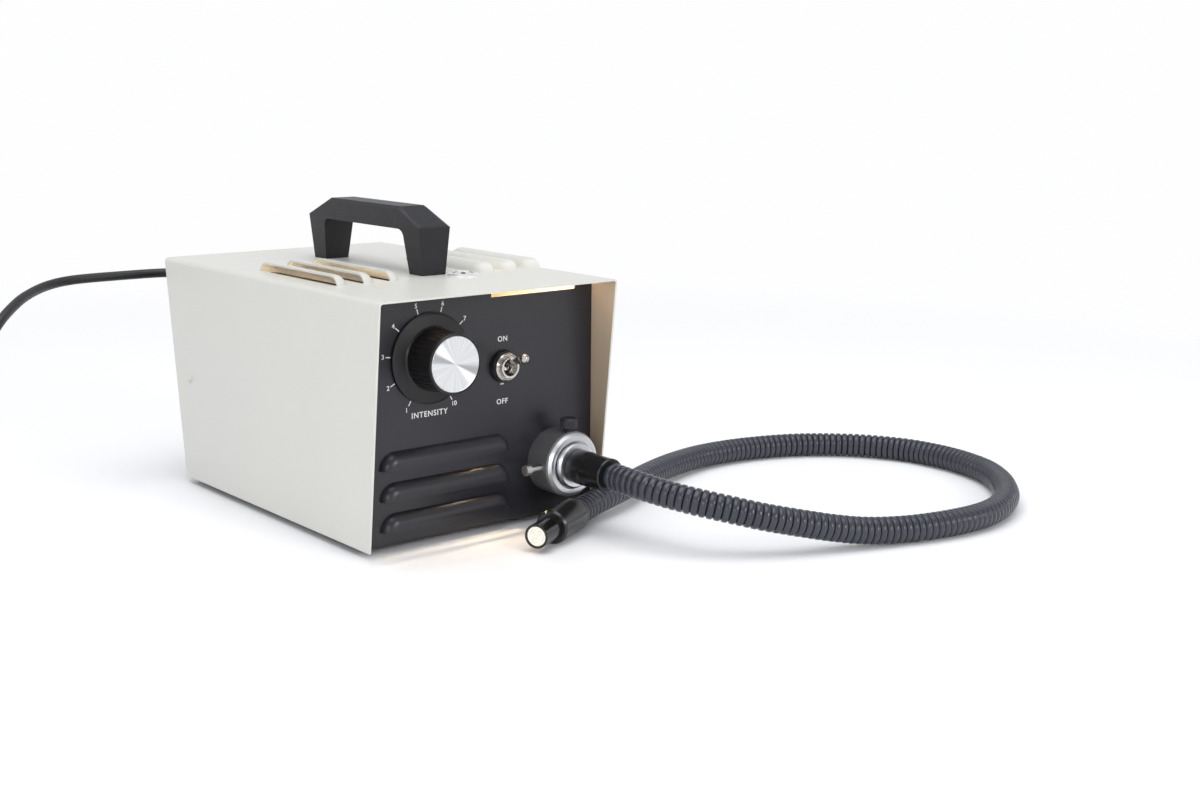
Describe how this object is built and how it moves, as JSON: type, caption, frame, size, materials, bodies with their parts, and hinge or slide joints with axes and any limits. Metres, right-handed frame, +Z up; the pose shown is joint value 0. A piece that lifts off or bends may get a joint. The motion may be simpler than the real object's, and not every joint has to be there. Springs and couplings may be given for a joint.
{
  "type": "fibre optic illuminator",
  "caption": "Bench light source in a painted sheet-metal cover with carrying handle, intensity dial, switch, light port and a plugged-in flexible fibre light guide.",
  "frame": {"origin": "centre of the lamp house's bounding box on the surface that it stands on", "axes": "+X to the right as seen from the front, -Y towards the front panel's user, +Z up"},
  "size_m": [0.6854, 0.442, 0.1784],
  "materials": {
    "cover_paint": "fine satin enamel",
    "black_paint": "fine satin enamel",
    "black_plastic": "satin",
    "rubber": "matte",
    "bright": "polished",
    "steel": "zinc plated",
    "spun_aluminium": "spun",
    "aluminium": "turned",
    "black_anodised": "anodised, satin",
    "brass": "plain",
    "copper": "enamelled copper winding",
    "hose": "smooth, slightly blue black",
    "fibre": "glass fibres",
    "lit_glass": "polished fibre ends, lit",
    "filter_glass": "heat absorbing glass",
    "lamp_glass": "quartz",
    "reflector": "coated glass reflector",
    "ceramic": "ceramic",
    "iron": "laminated, varnished",
    "board": "glass epoxy board",
    "board_parts": "mixed",
    "switch_case": "phenolic",
    "lead": "satin"
  },
  "bodies": {
    "lamp_house": {"cover": "cover_paint", "chassis": "black_paint", "handle": "black_plastic", "handle_screws": "steel", "cover_screws": "cover_paint", "feet": "rubber", "vent_plug": "bright", "pot_nut": "brass", "potentiometer": "brass", "toggle_body": "switch_case", "toggle_washer": "black_plastic", "toggle_nut": "bright", "port_collar": "black_anodised", "port_ring": "aluminium", "port_nut": "steel", "heat_filter": "filter_glass", "lamp_reflector": "reflector", "lamp_capsule": "lamp_glass", "lamp_socket": "ceramic", "lamp_bracket": "steel", "transformer_core": "iron", "transformer_coil": "copper", "transformer_strap": "steel", "fan_frame": "black_plastic", "fan_guard": "steel", "fan_screws": "steel", "dimmer_board": "board", "board_parts": "board_parts", "board_spacers": "steel", "floor_screws": "steel", "fuse_holder": "black_plastic", "fuse": "lamp_glass", "strain_relief": "black_plastic", "mains_lead": "lead", "lead_coil": "lead", "coil_tie": "black_plastic", "mains_plug": "lead"},
    "intensity_knob": {"knob": "black_plastic", "knob_cap": "spun_aluminium", "knob_set_screw": "steel", "pot_shaft": "aluminium"},
    "switch_lever": {"toggle_lever": "bright"},
    "clamp_screw": {"thumbscrew": "black_anodised"},
    "side_screw": {"port_screw": "steel"},
    "light_guide": {"guide_end": "aluminium", "guide_sleeve": "black_plastic", "guide_hose": "hose", "fibre_bundle": "fibre", "tip_sleeve": "black_plastic", "tip_tube": "black_anodised", "tip_face": "lit_glass"},
    "fan": {"fan_rotor": "black_plastic"},
    "fuse_carrier": {"fuse_cap": "black_plastic"}
  },
  "joints": [
    {"name": "knob_turn", "type": "hinge", "parent": "lamp_house", "child": "intensity_knob", "pos_m": [-0.035, -0.108, 0.1037], "axis": [0, -1, 0], "range_deg": [-33.3, 266.7]},
    {"name": "switch_throw", "type": "hinge", "parent": "lamp_house", "child": "switch_lever", "pos_m": [0.0138, -0.1, 0.094], "axis": [1, 0, 0], "range_deg": [0, 40]},
    {"name": "clamp_screw_turn", "type": "hinge", "parent": "lamp_house", "child": "clamp_screw", "pos_m": [0.0505, -0.1133, 0.06], "axis": [0, 0, 1], "range_deg": [0, 360]},
    {"name": "side_screw_turn", "type": "hinge", "parent": "lamp_house", "child": "side_screw", "pos_m": [0.025, -0.1124, 0.035], "axis": [-1, 0, 0], "range_deg": [0, 360]},
    {"name": "guide_pull", "type": "slide", "parent": "lamp_house", "child": "light_guide", "axis": [0, -1, 0], "range_m": [0, 0.032]},
    {"name": "fan_spin", "type": "hinge", "parent": "lamp_house", "child": "fan", "pos_m": [0.026, 0.09, 0.062], "axis": [0, 1, 0], "continuous": true},
    {"name": "fuse_cap_turn", "type": "hinge", "parent": "lamp_house", "child": "fuse_carrier", "pos_m": [-0.05, 0.108, 0.04], "axis": [0, -1, 0], "range_deg": [0, 90]}
  ]
}
